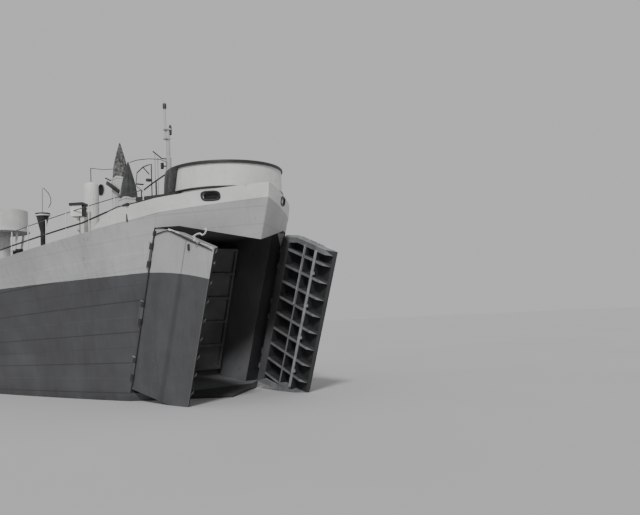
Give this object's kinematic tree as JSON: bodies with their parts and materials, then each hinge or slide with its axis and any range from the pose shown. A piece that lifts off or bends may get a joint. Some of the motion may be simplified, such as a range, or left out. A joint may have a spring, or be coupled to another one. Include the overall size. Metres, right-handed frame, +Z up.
{
  "type": "tank landing ship, 1:10 scale model, unarmed",
  "caption": "Flat-bottomed landing ship with clamshell bow doors, bow ramp, open tank deck, hatch, davits, twin screws and rudders; empty gun tubs.",
  "frame": {"origin": "on the flat keel amidships, on the centreline", "axes": "+X towards the bow, +Y to port, +Z up"},
  "size_m": [10.0927, 1.524, 2.4083],
  "materials": {
    "hull_paint": "matt dark grey hull paint, streaked",
    "topside_paint": "matt light grey topside paint",
    "shield_paint": "matt pale grey paint",
    "deck_paint": "worn matt deck grey",
    "black_paint": "black paint, worn",
    "bare_steel": "greased machinery grey",
    "bronze": "dull cast bronze",
    "canvas": "dark painted canvas"
  },
  "bodies": {
    "hull": {"hull_lower": "hull_paint", "hull_stern": "hull_paint", "skeg_starboard": "hull_paint", "shoulder_starboard": "hull_paint", "skeg_port": "hull_paint", "shoulder_port": "hull_paint", "forecastle": "topside_paint", "wing_starboard": "topside_paint", "wing_port": "topside_paint", "foremast": "topside_paint", "after_mast": "topside_paint", "deckhouse": "topside_paint", "upper_house": "topside_paint", "wheelhouse": "topside_paint", "hatch_coaming": "topside_paint", "davit_feet_starboard": "topside_paint", "deck_vents_starboard": "topside_paint", "davit_feet_port": "topside_paint", "deck_vents_port": "topside_paint", "bulwark": "shield_paint", "bow_tub": "shield_paint", "stern_tub": "shield_paint", "trunk_tall": "shield_paint", "trunk_low": "shield_paint", "side_tub_starboard": "shield_paint", "bridge_tub_starboard": "shield_paint", "vent_trunk_starboard": "shield_paint", "raft_box_starboard": "shield_paint", "side_tub_port": "shield_paint", "bridge_tub_port": "shield_paint", "vent_trunk_port": "shield_paint", "raft_box_port": "shield_paint", "main_deck": "deck_paint", "stern_anchor": "black_paint", "cowl_starboard": "black_paint", "bitts_fore_starboard": "black_paint", "bitts_aft_starboard": "black_paint", "cowl_port": "black_paint", "bitts_fore_port": "black_paint", "bitts_aft_port": "black_paint", "windlass": "bare_steel", "stern_winch": "bare_steel", "windsail_tall": "canvas", "windsail_low": "canvas"},
    "bow_door_starboard": {"bow_door_starboard": "hull_paint"},
    "bow_door_port": {"bow_door_port": "hull_paint"},
    "bow_ramp": {"bow_ramp": "hull_paint"},
    "hatch_lid": {"hatch_lid": "deck_paint"},
    "propeller_starboard": {"propeller_starboard": "bronze"},
    "propeller_port": {"propeller_port": "bronze"},
    "rudder_starboard": {"rudder_starboard": "hull_paint"},
    "rudder_port": {"rudder_port": "hull_paint"},
    "davits_starboard": {"davits_starboard": "topside_paint"},
    "davits_port": {"davits_port": "topside_paint"}
  },
  "joints": [
    {"name": "door_starboard_hinge", "type": "hinge", "parent": "hull", "child": "bow_door_starboard", "pos_m": [4.33, -0.34, 0.15], "axis": [-0.3746, 0, -0.9272], "range_deg": [-44.3, 0]},
    {"name": "door_port_hinge", "type": "hinge", "parent": "hull", "child": "bow_door_port", "pos_m": [4.33, 0.34, 0.15], "axis": [0.3746, 0, 0.9272], "range_deg": [-44.3, 0]},
    {"name": "ramp_hinge", "type": "hinge", "parent": "hull", "child": "bow_ramp", "pos_m": [4.09, 0, 0.225], "axis": [0, 1, 0], "range_deg": [0, 75]},
    {"name": "hatch_hinge", "type": "hinge", "parent": "hull", "child": "hatch_lid", "pos_m": [1.28, 0, 0.8383], "axis": [0, -1, 0], "range_deg": [0, 100]},
    {"name": "propeller_starboard_shaft", "type": "hinge", "parent": "hull", "child": "propeller_starboard", "pos_m": [-4.56, -0.34, 0.135], "axis": [1, 0, 0], "continuous": true},
    {"name": "propeller_port_shaft", "type": "hinge", "parent": "hull", "child": "propeller_port", "pos_m": [-4.56, 0.34, 0.135], "axis": [1, 0, 0], "continuous": true},
    {"name": "rudder_starboard_stock", "type": "hinge", "parent": "hull", "child": "rudder_starboard", "pos_m": [-4.725, -0.34, 0.2], "axis": [0, 0, 1], "range_deg": [-35, 35]},
    {"name": "rudder_port_stock", "type": "hinge", "parent": "hull", "child": "rudder_port", "pos_m": [-4.725, 0.34, 0.2], "axis": [0, 0, 1], "range_deg": [-35, 35]},
    {"name": "davits_starboard_feet", "type": "hinge", "parent": "hull", "child": "davits_starboard", "pos_m": [-1.3, -0.66, 0.81], "axis": [1, 0, 0], "range_deg": [0, 60]},
    {"name": "davits_port_feet", "type": "hinge", "parent": "hull", "child": "davits_port", "pos_m": [-1.3, 0.66, 0.81], "axis": [-1, 0, 0], "range_deg": [0, 60]}
  ],
  "couplings": [
    {"joint": "rudder_port_stock", "follows": "rudder_starboard_stock", "ratio": 1}
  ]
}
